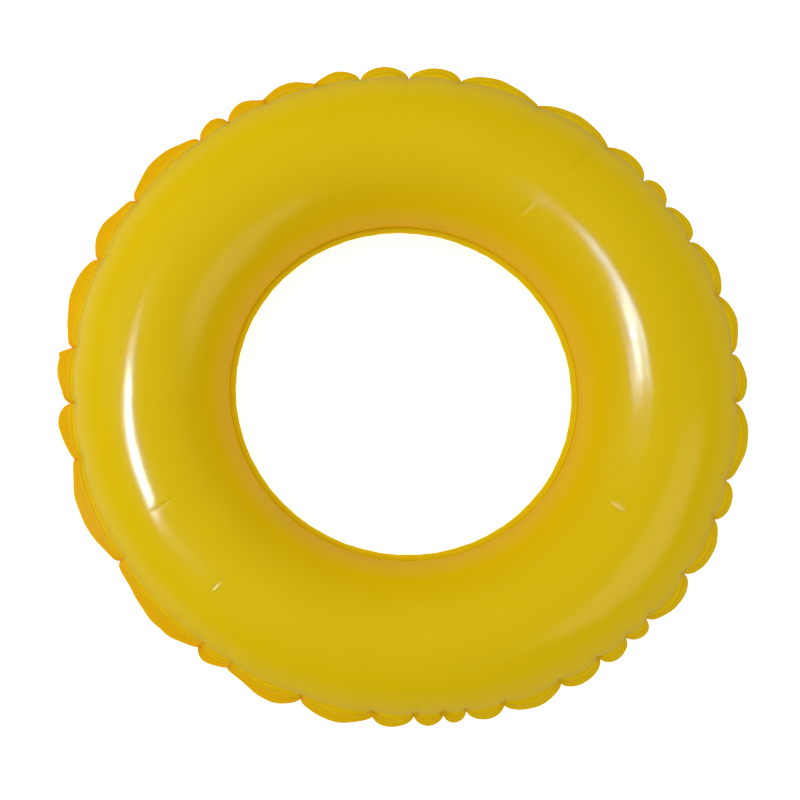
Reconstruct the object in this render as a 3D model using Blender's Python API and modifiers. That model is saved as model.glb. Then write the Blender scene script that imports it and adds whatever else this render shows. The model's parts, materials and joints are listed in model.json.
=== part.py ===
"""Inflatable swim ring: a front and a rear film half, the gathered outer hem and the inner hem that
join them, and a push-in air valve with its plug, strap and check flap on the rear film."""

from math import cos, exp, pi, radians, sin

import bmesh
import bpy
from mathutils import Matrix, Vector

# Sizes are in metres and angles in degrees. The ring lies flat, front film up, on the plane z = 0.

# Ring: its plan is a circle squashed a little, long along X and short along Y.
RING_RADIUS = 0.222
TUBE_RADIUS = 0.070
OVAL_LONG = 1.0235
OVAL_SHORT = 0.9765
FILM = 0.0003
RING_FACETS = 72
TUBE_FACETS = 24
FIT_GAP = 0.0003

# Hems: flat welded strips at mid-height, outside the tube and inside it.
HEM_THICKNESS = 0.0006
INNER_HEM_WIDTH = 0.004
PINCH_WIDTH = 0.0015
LOBE_WIDTH = 0.012
LOBE_GROWTH_DEG = 7.0
LOBE_ROUNDNESS = 0.75
FIRST_PINCH_DEG = 13.0
LOBE_SPANS = (
    9, 10.5, 11, 7.5, 6, 8.5, 14, 14, 9, 8.5, 8, 9.5,
    7, 6, 16, 12.5, 16.5, 10, 10, 19.5, 20, 6, 13.5, 12.5,
    7, 5, 4, 6.5, 10.5, 8, 6, 5, 10.5, 11, 7.5, 14,
)  # fmt: skip
LOBE_STEP_DEG = 2.5
LOBE_LEAST_STEPS = 4
HEM_FACETS = 2 * RING_FACETS

# Valve: it stands on the rear film, square to it, and slides along its own axis.
VALVE_AROUND_DEG = -90.0
VALVE_BELOW_SEAM_DEG = 40.0
VALVE_FACETS = 32
VALVE_HOLE_DEPTH = 0.02
FLANGE_LAND = 0.005
FLANGE_THICKNESS = 0.001
WELL_GAP = 0.002
SKIRT_WALL = 0.0006
SKIRT_LIP = 0.0015
STEM_RADIUS = 0.0055
STEM_BORE = 0.0037
STEM_MOUTH = 0.0016
STEM_LENGTH = 0.0112
FOOT_LIP = 0.0012
PLUG_OVERHANG = 0.0014
PLUG_THICKNESS = 0.0014
PLUG_DEPTH = 0.0046
PLUG_ROUNDING = 0.0004
SPIGOT_STEPS = 6
STRAP_REACH = 0.0014
STRAP_WIDTH = 0.004
STRAP_THICKNESS = 0.0009
STRAP_BEND_STEPS = 8
LUG_THICKNESS = 0.0012
FLAP_LAP = 0.0012
FLAP_THICKNESS = 0.0006
FLAP_HINGE_GAP = 0.0001

YELLOW = (0.78, 0.56, 0.01, 1.0)
HEM_YELLOW = (0.80, 0.50, 0.01, 1.0)
VALVE_CLEAR = (0.82, 0.80, 0.70, 1.0)

# Sizes that follow from the ones above.
MERGE = 0.00001
INNER_RADIUS = RING_RADIUS - TUBE_RADIUS
OUTER_RADIUS = RING_RADIUS + TUBE_RADIUS
TUBE_STEP = 2 * pi / TUBE_FACETS
MID_HEIGHT = TUBE_RADIUS * cos(TUBE_STEP / 2)
SQUASH = Matrix.Diagonal((OVAL_LONG, OVAL_SHORT, 1.0, 1.0))
STEM_FOOT = STEM_MOUTH - STEM_LENGTH
PLUG_SEAT = STEM_MOUTH + FIT_GAP
PLUG_RADIUS = STEM_RADIUS + PLUG_OVERHANG
STRAP_HINGE_RADIUS = PLUG_RADIUS + FIT_GAP + STRAP_REACH
STRAP_HINGE_HEIGHT = PLUG_SEAT + STRAP_THICKNESS / 2
LUG_END = STRAP_HINGE_RADIUS + STRAP_THICKNESS / 2
WELL_RADIUS = LUG_END + WELL_GAP + SKIRT_WALL + FIT_GAP
FLANGE_RADIUS = WELL_RADIUS + FLANGE_LAND
FLAP_RADIUS = STEM_BORE + FLAP_LAP
FLAP_HINGE_RADIUS = FLAP_RADIUS + FLAP_HINGE_GAP
FLAP_HINGE_HEIGHT = STEM_FOOT - FIT_GAP - FLAP_THICKNESS / 2


def clear_scene():
    for old in list(bpy.data.objects):
        bpy.data.objects.remove(old, do_unlink=True)


def new_collection(name):
    made = bpy.data.collections.new(name)
    bpy.context.scene.collection.children.link(made)
    return made


def plastic(name, colour, roughness):
    made = bpy.data.materials.new(name)
    made.use_nodes = True
    shader = made.node_tree.nodes["Principled BSDF"]
    shader.inputs["Base Color"].default_value = colour
    shader.inputs["Roughness"].default_value = roughness
    shader.inputs["Metallic"].default_value = 0.0
    return made


def add_object(name, data, material):
    made = bpy.data.objects.new(name, data)
    made.data.materials.append(material)
    PARTS.objects.link(made)
    return made


def shade_round(mesh, sharp_deg=35):
    mesh.shade_smooth()
    mesh.set_sharp_from_angle(angle=radians(sharp_deg))


def profile_mesh(name, points, closed):
    """A profile in the XZ plane as a mesh of edges, for a Screw modifier to turn about Z."""
    mesh = bpy.data.meshes.new(name)
    edges = [(i, i + 1) for i in range(len(points) - 1)]
    if closed:
        edges.append((len(points) - 1, 0))
    mesh.from_pydata([(x, 0.0, z) for x, z in points], edges, [])
    return mesh


def add_turning(thing, steps):
    screw = thing.modifiers.new("Turning", "SCREW")
    screw.axis = "Z"
    screw.angle = 2 * pi
    screw.steps = steps
    screw.render_steps = steps
    screw.use_merge_vertices = True
    screw.merge_threshold = MERGE


def made_mesh(thing, name):
    """The mesh of an object with its modifiers, which the object is then removed for."""
    bpy.context.view_layer.update()
    graph = bpy.context.evaluated_depsgraph_get()
    mesh = bpy.data.meshes.new_from_object(thing.evaluated_get(graph))
    bpy.data.objects.remove(thing, do_unlink=True)
    mesh.name = name
    return mesh


def turned(name, points, closed, material):
    made = add_object(name, profile_mesh(name, points, closed), material)
    add_turning(made, VALVE_FACETS)
    mesh = made_mesh(made, name)
    shade_round(mesh)
    return add_object(name, mesh, material)


# The two film halves


def film_profile(front):
    """Half of the tube's section, from one seam over the film to the other, outer side downwards."""
    facets = TUBE_FACETS // 2
    angles = [(i + 0.5) * TUBE_STEP for i in range(facets)]
    rim = MID_HEIGHT + FIT_GAP / 2 if front else MID_HEIGHT - FIT_GAP / 2
    side = 1.0 if front else -1.0
    first, last = (INNER_RADIUS, OUTER_RADIUS) if front else (OUTER_RADIUS, INNER_RADIUS)
    points = [(first, rim)]
    for angle in angles:
        across = -side * cos(angle) * TUBE_RADIUS
        points.append((RING_RADIUS + across, MID_HEIGHT + side * sin(angle) * TUBE_RADIUS))
    points.append((last, rim))
    return points


def add_film(name, front, material):
    turning = add_object(name, profile_mesh(name, film_profile(front), closed=False), material)
    add_turning(turning, RING_FACETS)
    mesh = made_mesh(turning, name)
    mesh.transform(SQUASH)
    shade_round(mesh)
    film = add_object(name, mesh, material)
    wall = film.modifiers.new("Film", "SOLIDIFY")
    wall.thickness = FILM
    wall.offset = -1.0
    return film


def tube_point(around, below, out):
    """A point on the rear half of the squashed tube, moved out along its normal; angles in radians."""
    reach = RING_RADIUS + TUBE_RADIUS * cos(below)
    point = Vector((reach * cos(around), reach * sin(around), MID_HEIGHT - TUBE_RADIUS * sin(below)))
    normal = Vector((cos(below) * cos(around), cos(below) * sin(around), -sin(below)))
    return SQUASH @ point + tube_normal(normal) * out


def tube_normal(round_normal):
    return (SQUASH.inverted().transposed().to_3x3() @ round_normal).normalized()


def valve_frame():
    """The valve's frame: its origin on the film, Z out along its axis, X up towards the outer seam."""
    around, below = radians(VALVE_AROUND_DEG), radians(VALVE_BELOW_SEAM_DEG)
    seat = tube_point(around, below, 0.0)
    axis = (tube_point(around, below, TUBE_RADIUS) - seat).normalized()
    up = tube_point(around, below - 0.01, 0.0) - tube_point(around, below + 0.01, 0.0)
    up = (up - axis * up.dot(axis)).normalized()
    side = axis.cross(up)
    turn = Matrix((up, side, axis)).transposed().to_4x4()
    return Matrix.Translation(seat) @ turn


def as_cutter(thing, name):
    thing.name = name
    for home in list(thing.users_collection):
        home.objects.unlink(thing)
    CUTTERS.objects.link(thing)
    thing.hide_render = True
    thing.display_type = "WIRE"
    return thing


def cut_valve_hole(film):
    """The hole in the rear film that the valve's well goes through."""
    bpy.ops.mesh.primitive_cylinder_add(
        vertices=VALVE_FACETS, radius=WELL_RADIUS + FIT_GAP, depth=VALVE_HOLE_DEPTH
    )
    cutter = as_cutter(bpy.context.object, "valve_hole_cutter")
    cutter.matrix_world = valve_frame()
    hole = film.modifiers.new("Valve hole", "BOOLEAN")
    hole.operation = "DIFFERENCE"
    hole.object = cutter


# The hems


def lobe_widths():
    """(angle in radians, hem's width there) all round: lobes between pinches, wide lobes taller."""
    turn = 360.0 / sum(LOBE_SPANS)
    start = FIRST_PINCH_DEG
    stations = []
    for span in LOBE_SPANS:
        steps = max(LOBE_LEAST_STEPS, round(span / LOBE_STEP_DEG))
        height = (LOBE_WIDTH - PINCH_WIDTH) * (1 - exp(-span / LOBE_GROWTH_DEG))
        for i in range(steps):
            share = i / steps
            width = PINCH_WIDTH + height * sin(pi * share) ** LOBE_ROUNDNESS
            stations.append((radians(start + span * turn * share), width))
        start += span * turn
    return stations


def add_outline(curve, points):
    spline = curve.splines.new("POLY")
    spline.points.add(len(points) - 1)
    for spot, (x, y) in zip(spline.points, points):
        spot.co = (x, y, 0.0, 1.0)
    spline.use_cyclic_u = True


def flat_piece(name, outlines, thickness, material):
    """A flat outline, with a hole where there is a second one, as a plate of the given thickness."""
    curve = bpy.data.curves.new(name, "CURVE")
    curve.dimensions = "2D"
    curve.fill_mode = "BOTH"
    curve.extrude = thickness / 2
    for points in outlines:
        add_outline(curve, points)
    return add_object(name, curve, material)


def circle(radius, count):
    turns = [2 * pi * i / count for i in range(count)]
    return [(radius * cos(turn) * OVAL_LONG, radius * sin(turn) * OVAL_SHORT) for turn in turns]


def add_outer_hem(material):
    root = (OUTER_RADIUS + FIT_GAP) / cos(pi / HEM_FACETS)
    edge = []
    for angle, width in lobe_widths():
        reach = OUTER_RADIUS + width
        edge.append((reach * cos(angle) * OVAL_LONG, reach * sin(angle) * OVAL_SHORT))
    hem = flat_piece("outer_hem", (edge, circle(root, HEM_FACETS)), HEM_THICKNESS, material)
    hem.location.z = MID_HEIGHT
    return hem


def add_inner_hem(material):
    root = INNER_RADIUS * cos(pi / RING_FACETS) - FIT_GAP
    outlines = (circle(root, HEM_FACETS), circle(root - INNER_HEM_WIDTH, HEM_FACETS))
    hem = flat_piece("inner_hem", outlines, HEM_THICKNESS, material)
    hem.location.z = MID_HEIGHT
    return hem


# The valve


def add_empty(name, matrix, parent=None):
    made = bpy.data.objects.new(name, None)
    PARTS.objects.link(made)
    if parent:
        made.parent = parent
        made.location = matrix.translation
    else:
        made.matrix_world = matrix
    return made


def ring_of(mesh, radius, out):
    """A closed ring of points on the film round the valve's axis, moved out from the film."""
    around, below = radians(VALVE_AROUND_DEG), radians(VALVE_BELOW_SEAM_DEG)
    reach = RING_RADIUS + TUBE_RADIUS * cos(below)
    ring = []
    for i in range(VALVE_FACETS):
        turn = 2 * pi * i / VALVE_FACETS
        along = around + radius * sin(turn) / reach
        down = below - radius * cos(turn) / TUBE_RADIUS
        ring.append(mesh.verts.new(tube_point(along, down, out)))
    return ring


def add_flange(material):
    """The valve's disc, lofted to lie on the curved film."""
    low, high = FIT_GAP, FIT_GAP + FLANGE_THICKNESS
    middle = (WELL_RADIUS + FLANGE_RADIUS) / 2
    shape = bmesh.new()
    section = (
        (WELL_RADIUS, high), (middle, high), (FLANGE_RADIUS - FLANGE_THICKNESS / 2, high),
        (FLANGE_RADIUS, (low + high) / 2), (FLANGE_RADIUS - FLANGE_THICKNESS / 2, low),
        (middle, low), (WELL_RADIUS, low),
    )  # fmt: skip
    rings = [ring_of(shape, radius, out) for radius, out in section]
    for ring, following in zip(rings, rings[1:] + rings[:1]):
        for i in range(VALVE_FACETS):
            j = (i + 1) % VALVE_FACETS
            shape.faces.new((ring[i], ring[j], following[j], following[i]))
    bmesh.ops.recalc_face_normals(shape, faces=shape.faces)
    mesh = bpy.data.meshes.new("valve_flange")
    shape.to_mesh(mesh)
    shape.free()
    shade_round(mesh)
    return add_object("valve_flange", mesh, material)


def add_skirt(seat, material):
    """The thin cone that lets the stem sink into the film: lip, cone and foot, as one turned wall."""
    top_out = WELL_RADIUS - FIT_GAP
    foot_in = STEM_RADIUS + FIT_GAP
    lip_top = FIT_GAP
    lip_low = lip_top - SKIRT_LIP
    foot_top = STEM_FOOT + FOOT_LIP
    points = [
        (top_out - SKIRT_WALL, lip_top),
        (top_out, lip_top),
        (top_out, lip_low),
        (foot_in + SKIRT_WALL, foot_top - SKIRT_WALL),
        (foot_in + SKIRT_WALL, STEM_FOOT),
        (foot_in, STEM_FOOT),
        (foot_in, foot_top),
        (top_out - SKIRT_WALL, lip_low + SKIRT_WALL),
    ]
    skirt = turned("valve_skirt", points, True, material)
    skirt.parent = seat
    return skirt


def add_stem(seat, material):
    """The tube that the air goes through, with the lug that the strap bends from."""
    points = [
        (STEM_BORE, STEM_MOUTH),
        (STEM_RADIUS, STEM_MOUTH),
        (STEM_RADIUS, STEM_FOOT),
        (STEM_BORE, STEM_FOOT),
    ]
    stem = turned("valve_stem", points, True, material)
    stem.parent = seat

    lug_root = (STEM_BORE + STEM_RADIUS) / 2
    bpy.ops.mesh.primitive_cube_add(size=1.0)
    lug = as_cutter(bpy.context.object, "stem_lug")
    lug.parent = seat
    lug.scale = (LUG_END - lug_root, STRAP_WIDTH, LUG_THICKNESS)
    lug.location = ((LUG_END + lug_root) / 2, 0.0, STEM_MOUTH - LUG_THICKNESS / 2)
    join = stem.modifiers.new("Lug", "BOOLEAN")
    join.operation = "UNION"
    join.object = lug
    return stem


def spigot_radius(depth):
    """The widest the plug's spigot can be that far below the mouth and still swing out of the bore."""
    rise = STRAP_HINGE_HEIGHT - STEM_MOUTH
    swing = (STRAP_HINGE_RADIUS + STEM_BORE) ** 2 + rise**2 - (depth + rise) ** 2
    return swing**0.5 - STRAP_HINGE_RADIUS - FIT_GAP


def add_plug(hinge, material):
    """The cap's disc and its tapered spigot, turned about the valve's axis."""
    top = PLUG_SEAT + PLUG_THICKNESS
    points = [
        (0.0, top),
        (PLUG_RADIUS - PLUG_ROUNDING, top),
        (PLUG_RADIUS, top - PLUG_ROUNDING),
        (PLUG_RADIUS, PLUG_SEAT),
        (spigot_radius(0.0), PLUG_SEAT),
    ]
    for i in range(1, SPIGOT_STEPS + 1):
        depth = PLUG_DEPTH * i / SPIGOT_STEPS
        points.append((spigot_radius(depth), STEM_MOUTH - depth))
    points.append((0.0, STEM_MOUTH - PLUG_DEPTH))
    plug = turned("valve_plug", points, False, material)
    plug.parent = hinge
    plug.location = (-STRAP_HINGE_RADIUS, 0.0, -STRAP_HINGE_HEIGHT)
    return plug


def add_strap(hinge, material):
    """The tab from the plug's edge to the lug, round where it bends."""
    half = STRAP_THICKNESS / 2
    outline = [(-STRAP_REACH, -half)]
    for i in range(STRAP_BEND_STEPS + 1):
        turn = pi * (i / STRAP_BEND_STEPS - 0.5)
        outline.append((half * cos(turn), half * sin(turn)))
    outline.append((-STRAP_REACH, half))
    strap = flat_piece("plug_strap", (outline,), STRAP_WIDTH, material)
    strap.parent = hinge
    strap.rotation_euler.x = pi / 2
    return strap


def add_flap(hinge, material):
    """The thin disc that closes the stem's inner end."""
    half = FLAP_THICKNESS / 2
    points = [(0.0, half), (FLAP_RADIUS, half), (FLAP_RADIUS, -half), (0.0, -half)]
    flap = turned("check_flap", points, False, material)
    flap.parent = hinge
    flap.location.x = -FLAP_HINGE_RADIUS
    return flap


clear_scene()
PARTS = new_collection("swim_ring")
CUTTERS = new_collection("cutters")

film_vinyl = plastic("film_vinyl", YELLOW, 0.25)
hem_vinyl = plastic("hem_vinyl", HEM_YELLOW, 0.3)
valve_vinyl = plastic("valve_vinyl", VALVE_CLEAR, 0.35)

add_film("front_film", True, film_vinyl)
rear_film = add_film("rear_film", False, film_vinyl)
cut_valve_hole(rear_film)
add_outer_hem(hem_vinyl)
add_inner_hem(hem_vinyl)

valve_seat = add_empty("valve_seat", valve_frame())
hinge_spot = Matrix.Translation((STRAP_HINGE_RADIUS, 0.0, STRAP_HINGE_HEIGHT))
flap_spot = Matrix.Translation((FLAP_HINGE_RADIUS, 0.0, FLAP_HINGE_HEIGHT))
plug_hinge = add_empty("plug_hinge", hinge_spot, valve_seat)
flap_hinge = add_empty("flap_hinge", flap_spot, valve_seat)

add_flange(valve_vinyl)
add_skirt(valve_seat, valve_vinyl)
add_stem(valve_seat, valve_vinyl)
add_plug(plug_hinge, valve_vinyl)
add_strap(plug_hinge, valve_vinyl)
add_flap(flap_hinge, valve_vinyl)
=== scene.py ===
"""Inflatable swim ring: two puckered film halves, their welded hems, and an air valve under the outer seam."""

import json
from math import cos, pi, radians, sin, tan

import bmesh
import bpy
import numpy as np
from mathutils import Matrix, Vector


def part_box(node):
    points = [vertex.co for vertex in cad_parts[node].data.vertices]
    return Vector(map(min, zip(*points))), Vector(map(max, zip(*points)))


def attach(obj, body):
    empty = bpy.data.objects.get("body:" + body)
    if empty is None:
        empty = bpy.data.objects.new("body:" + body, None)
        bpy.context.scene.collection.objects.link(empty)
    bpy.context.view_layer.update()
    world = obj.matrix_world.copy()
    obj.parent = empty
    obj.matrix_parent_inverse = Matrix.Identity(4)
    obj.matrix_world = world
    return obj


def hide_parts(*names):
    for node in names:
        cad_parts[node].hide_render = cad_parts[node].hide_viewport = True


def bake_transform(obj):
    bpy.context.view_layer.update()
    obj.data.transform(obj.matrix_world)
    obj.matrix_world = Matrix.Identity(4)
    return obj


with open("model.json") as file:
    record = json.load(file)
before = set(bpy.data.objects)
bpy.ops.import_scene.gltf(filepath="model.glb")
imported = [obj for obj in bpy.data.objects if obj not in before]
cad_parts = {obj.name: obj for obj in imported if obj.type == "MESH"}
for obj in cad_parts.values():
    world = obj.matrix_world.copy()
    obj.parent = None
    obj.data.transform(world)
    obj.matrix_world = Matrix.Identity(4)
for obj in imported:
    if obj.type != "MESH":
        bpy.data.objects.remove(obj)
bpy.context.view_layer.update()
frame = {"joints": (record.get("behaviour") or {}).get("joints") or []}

# Sizes are in metres, and angles in degrees, unless a name says otherwise.

# The ring's plan, read from the frame: a circle stretched along X and squashed along Y.
FILM_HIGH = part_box("front_film")[1]
INNER_HEM_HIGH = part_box("inner_hem")[1]
SEAM_GAP = 0.00045
OUTER_RADIUS = (FILM_HIGH.x + FILM_HIGH.y) / 2
OVAL_LONG = FILM_HIGH.x / OUTER_RADIUS
OVAL_SHORT = FILM_HIGH.y / OUTER_RADIUS
INNER_RADIUS = INNER_HEM_HIGH.x / OVAL_LONG + SEAM_GAP
TUBE_RADIUS = (OUTER_RADIUS - INNER_RADIUS) / 2
RING_RADIUS = (OUTER_RADIUS + INNER_RADIUS) / 2
MID_HEIGHT = (INNER_HEM_HIGH.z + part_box("inner_hem")[0].z) / 2

# The gathers of the outer seam: lobes between two pinches, by the share of the turn that each takes.
FIRST_PINCH_DEG = 13.0
LOBE_SPANS = (
    9, 10.5, 11, 7.5, 6, 8.5, 14, 14, 9, 8.5, 8, 9.5,
    7, 6, 16, 12.5, 16.5, 10, 10, 19.5, 20, 6, 13.5, 12.5,
    7, 5, 4, 6.5, 10.5, 8, 6, 5, 10.5, 11, 7.5, 14,
)  # fmt: skip
LOBE_GROWTH_DEG = 7.0
LOBE_ROUNDNESS = 0.66
LOBE_SMOOTHING = 0.7
LOBE_SMOOTHING_DEG = 45.0
LONG_LOBE_DEG = 18.0
LONG_LOBE_DENT = 0.14
LONG_LOBE_DENT_SHARE = 0.09

# On the full side the film runs out into the hem; across from it the film's edge is drawn in straight.
FULL_SIDE_DEG = 14.0
FULL_SIDE_RISE = (-0.75, 0.45)
SEAM_CREST = 0.0016
SEAM_PINCH = -0.0034
SEAM_LEAST_SHARE = 0.4
SEAM_FADE_DEG = 15.0
SEAM_FADE_LEAST = 0.55
SEAM_FADE_PER_DEG = 0.045
SEAM_FLARE = 0.0058
SEAM_FLARE_DEG = 9.0
SEAM_FLARE_LEAST_SHARE = 0.1
SEAM_FLARE_ROUNDNESS = 0.9
SEAM_DRAW = 0.0036
SEAM_DRAW_DEG = 34.0
SEAM_SWAY = 0.0020
SWAY_FADE_DEG = 25.0
PINCH_FADE_DEG = 10.0

# Each pinch sends a groove over the film, and slow waves make the whole film a little uneven.
GROOVE_DEPTH = 0.0026
GROOVE_DEPTH_SHARES = (0.55, 1.35)
GROOVE_WIDTH = 0.0022
GROOVE_SPREAD_DEG = 20.0
GROOVE_REACH_DEG = 26.0
GROOVE_REACH_SHARES = (0.6, 1.5)
GROOVE_LEAN_DEG = 1.6
GROOVE_LEAN_FULL_DEG = 50.0
WAVE_HEIGHT = 0.00022
WAVE_COUNT = 14
WAVE_ROUNDS = (3, 22)
WAVE_RUNS = (0.5, 3.5)
WAVE_SEED = 40

# Short creases in the front film: angle round the ring, angle over the tube, slant; length, width and depth.
CREASES = (
    (-138.5, 83.7, -0.10, 0.018, 0.0011, 0.0012),
    (71.6, 116.3, 0.32, 0.019, 0.0012, 0.0016),
    (68.0, 61.0, 0.16, 0.050, 0.0016, 0.0012),
    (-15.6, 105.4, 0.23, 0.014, 0.0011, 0.0010),
    (-118.1, 79.0, 0.10, 0.010, 0.0010, 0.0006),
    (-174.6, 70.4, 0.00, 0.009, 0.0008, 0.0005),
    (-176.4, 68.4, 0.20, 0.008, 0.0008, 0.0004),
    (165.3, 86.1, 0.30, 0.004, 0.0010, 0.0005),
    (23.5, 67.1, 0.10, 0.010, 0.0010, 0.0004),
)  # fmt: skip
CREASE_STATIONS = 14
CREASE_STATION_DEG = 0.16

# The films' wall, and how their mesh is divided over the tube (rows) and round the ring (stations).
FILM_THICKNESS = 0.0003
FRONT_ROWS = 44
REAR_ROWS = 34
ROW_CROWDING = 1.35
STATION_DEG = 0.42
STATION_CROWDING = 0.55
STATION_GAP_DEG = 0.02
LEAST_STATIONS = 12
# How far over the tube the film's colour is painted deeper beside each seam, as painted shade.
SEAM_PAINTED_SHADE_DEG = 9.0
INNER_SEAM_PAINTED_SHADE_DEG = 16.0

# The outer hem, and the one spur that juts out of it.
HEM_PINCH_WIDTH = 0.0082
HEM_PINCH_LEAST_SHARE = 0.8
HEM_CREST_WIDTH = 0.0145
HEM_ROUNDNESS = 1.6
HEM_ROUNDNESS_DROP = 0.7
HEM_SKEW = 0.45
HEM_JAG = 0.0006
HEM_JAG_DEG = 4.6
SPUR_DEG = 187.7
SPUR_LENGTH = 0.0035
SPUR_HALF_DEG = 0.5
HEM_DROOP_DEG = 24.0
HEM_TILT_DEG = 8.0
HEM_CURL = 0.0016
HEM_FOLD = 0.7
HEM_FOLD_WIDTH = 0.0018
# How far from each pinch the painted shade in the hem's fold reaches.
FOLD_PAINTED_SHADE_DEG = 0.9

# Both hems' section: thickest along the weld and thin at the free edge.
HEM_THICKNESS = 0.0007
HEM_EDGE_SHARE = 0.35
WELD_THICKNESS = 0.0012
WELD_WIDTH = 0.0010
WELD_OVERLAP = 0.0004
HEM_SHARES = (0.0, 0.05, 0.12, 0.22, 0.36, 0.52, 0.70, 0.86, 0.96, 1.0)

# The inner hem; each wave is (waves in a turn, height, start in radians).
INNER_HEM_WIDTH = 0.0052
INNER_HEM_SWAY = 0.0005
INNER_HEM_BEND_DEG = 35.0
INNER_HEM_BEND_RISE = (-0.2, 0.9)
# Where round the ring the inner hem's painted highlight gives way to the plain film colour.
INNER_HEM_PAINTED_LIGHT_RISE = (-0.2, 0.6)
INNER_HEM_LEVEL_WAVES = ((17, 0.5, 0.4), (29, 0.3, 2.0), (43, 0.2, 5.0))
INNER_HEM_WIDTH_WAVES = ((23, 0.02, 0.0), (57, 0.02, 1.0))

# The weld beads on the outer hem, and the dots on the valve's flange.
BEAD_SPACING = 0.0012
BEAD_LENGTH = 0.0028
BEAD_WIDTH = 0.0008
BEAD_HEIGHT = 0.0009
BEAD_UNEVENNESS = 0.25
BEAD_SEED = 3
BEAD_LINE = 0.0036
BEAD_RISE = 0.0007
DOT_RADIUS = 0.0153
DOT_LIFT = 0.0011
DOT_SPACING = 0.0016
DOT_WIDTH = 0.0008
DOT_HEIGHT = 0.0005

# The valve, in its own frame: X up to the outer seam, Y to the side, Z out along its axis.
VALVE_TURN_DEG = -90.0
VALVE_TUBE_DEG = 40.0
HINGE_RADIUS = 0.0086
HINGE_HEIGHT = 0.00235
VALVE_STEPS = 64
HOLE_RADIUS = 0.0121
HOLE_DEPTH = 0.02
# Each point is (radius, lift off the film) in mm.
FLANGE_SECTION = (
    (11.9, 0.0), (14.5, 0.0), (16.6, 0.0), (16.9, 0.2), (16.95, 0.45), (16.75, 0.8), (16.3, 1.02), (15.6, 1.1),
    (14.7, 1.1), (14.5, 0.96), (14.1, 0.96), (13.9, 1.1), (13.1, 1.14), (12.7, 1.3), (12.2, 1.36),
    (11.9, 1.25), (11.8, 0.95), (11.8, 0.3),
)  # fmt: skip
# Each point is (radius and height in mm, share that lies flat to the valve and not to the curved film).
SKIRT_SECTION = (
    (12.0, 0.7, 0.0), (11.75, 1.05, 0.0), (11.45, 0.95, 0.05), (11.25, 0.4, 0.2), (11.1, -0.5, 0.6),
    (10.7, -1.7, 1.0), (10.0, -2.9, 1.0), (9.5, -3.4, 1.0), (8.9, -4.5, 1.0), (8.4, -5.0, 1.0), (7.8, -6.1, 1.0),
    (7.3, -6.6, 1.0), (6.8, -7.6, 1.0), (6.4, -8.1, 1.0), (6.25, -8.6, 1.0), (6.22, -9.5, 1.0),
)  # fmt: skip
SKIRT_THICKNESS = 0.00045
SKIRT_BEND = ((0.0, 0.0, -0.0005), (0.0, 0.0, -0.0085))
# Each point is (radius, height) in mm, all turned about the valve's axis. The stem's foot is a wide collar.
STEM_SECTION = (
    (3.7, 1.2), (3.82, 1.48), (4.1, 1.6), (5.1, 1.6), (5.38, 1.48), (5.5, 1.2), (5.5, -0.2), (5.62, -0.35),
    (5.62, -0.75), (5.5, -0.9), (5.5, -7.9), (5.62, -8.35), (5.85, -8.66), (6.1, -8.8), (6.14, -8.95),
    (6.14, -9.35), (6.0, -9.6), (3.95, -9.6), (3.7, -9.35),
)  # fmt: skip
PLUG_SECTION = (
    (0.0, 3.02), (2.4, 3.02), (3.0, 3.06), (3.5, 3.28), (4.3, 3.4), (5.6, 3.4), (6.4, 3.28), (6.8, 2.98),
    (6.9, 2.6), (6.84, 2.2), (6.6, 1.96), (4.2, 1.92), (3.5, 1.9), (3.36, 1.6), (3.34, 0.8), (3.2, 0.0),
    (3.05, -0.7), (2.95, -0.85), (2.72, -1.9), (2.3, -2.7), (1.95, -2.95), (1.5, -2.95), (1.3, -2.7),
    (1.15, -1.0), (0.6, -0.8), (0.0, -0.78),
)  # fmt: skip
FLAP_SECTION = (
    (0.0, -9.93), (4.4, -9.93), (4.75, -10.0), (4.88, -10.15), (4.85, -10.35), (4.6, -10.48), (3.7, -10.48),
    (3.5, -10.38), (1.2, -10.38), (1.0, -10.5), (0.0, -10.52),
)  # fmt: skip
LUG_SIZE = (0.0042, 0.0040, 0.0012)
LUG_CENTRE = (0.0069, 0.0, 0.0010)
LUG_ROUNDING = 0.0003
# The strap's middle line, out and up in mm, from the plug's edge over the hinge to the lug's end.
STRAP_LINE = (
    (6.5, 2.3), (7.0, 2.42), (7.6, 2.5), (8.1, 2.55), (8.45, 2.58), (8.75, 2.5), (8.95, 2.3), (9.0, 2.02),
    (8.95, 1.72), (8.8, 1.45), (8.6, 1.2),
)  # fmt: skip
# The strap's section, across and up, as shares of half its width and half its thickness.
STRAP_EDGE = (
    (-1, -0.6), (-0.9, -1), (0, -1), (0.9, -1), (1, -0.6), (1, 0.6), (0.9, 1), (0, 1), (-0.9, 1), (-1, 0.6),
)  # fmt: skip
STRAP_HALF_WIDTH = 0.0020
STRAP_WAIST = 0.72
STRAP_WAIST_SHARE = 0.22
STRAP_THICKNESS = 0.0006
STRAP_BEND = ((0.0090, 0.0, 0.0017), (0.0083, 0.0, 0.00255))
MERGE_DISTANCE = 1e-6

# The view and the studio.
VIEW_ROLL_DEG = 14.0
CAMERA_DISTANCE = 1.5
CAMERA_ACROSS_DEG = -1.8
CAMERA_UP_DEG = -3.7
CAMERA_AIM = (-0.0039, -0.0062)
VIEW_WIDTH = 0.7157
SENSOR_WIDTH_MM = 36.0
WHITE = (1.0, 1.0, 1.0)
COOL_WHITE = (0.52, 0.82, 1.0)
FLOOR_DROP = 0.0006
FLOOR_SIZE = 9.0
FLOOR_GLOW = 0.72
BACKDROP_SEEN = 1.0
BACKDROP_LIGHT = 0.16

rng = np.random.default_rng(11)


# Shared helpers


def smooth(low, high, value):
    """A smooth rise from 0 at low to 1 at high."""
    share = np.clip((value - low) / (high - low), 0.0, 1.0)
    return share * share * (3.0 - 2.0 * share)


def rising(least, share):
    """From least, at a share of 0, up to 1, at a share of 1."""
    return least + (1.0 - least) * share


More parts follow.
